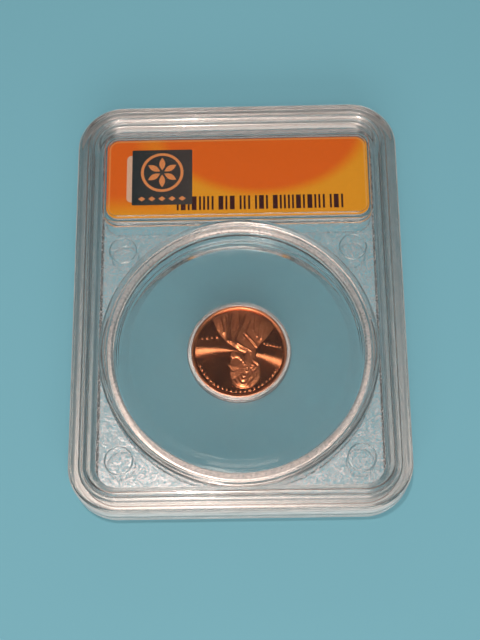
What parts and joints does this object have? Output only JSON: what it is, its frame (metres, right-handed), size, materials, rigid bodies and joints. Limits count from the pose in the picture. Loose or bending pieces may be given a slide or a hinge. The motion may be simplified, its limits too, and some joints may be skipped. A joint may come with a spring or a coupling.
{
  "type": "coin display slab",
  "caption": "Clear welded plastic slab that shows a small copper coin in a round insert below an orange label card, with stepped rims for stacking.",
  "frame": {"origin": "centre of the back face's stacking ridge, the plane that the slab rests on", "axes": "+Z is the shortest side and points out of the front face; +Y is the longest side and points to the label end; +X is to the right when the front is seen with the label at the top"},
  "size_m": [0.066, 0.086, 0.008],
  "materials": {
    "clear_plastic": "clear moulded polystyrene, polished windows and rims, finely stippled field",
    "copper": "mirror-bright struck copper",
    "printed_card": "orange to golden satin print",
    "dark_foil": "dark foil sticker with a peach emblem"
  },
  "bodies": {
    "case": {"front_shell": "clear_plastic", "back_shell": "clear_plastic", "coin_insert": "clear_plastic", "label_card": "printed_card", "emblem_foil": "dark_foil"},
    "coin": {"coin": "copper"}
  },
  "joints": [
    {"name": "coin_spin", "type": "hinge", "parent": "case", "child": "coin", "pos_m": [0, -0.0105, 0.00416], "axis": [0, 0, 1], "continuous": true}
  ]
}
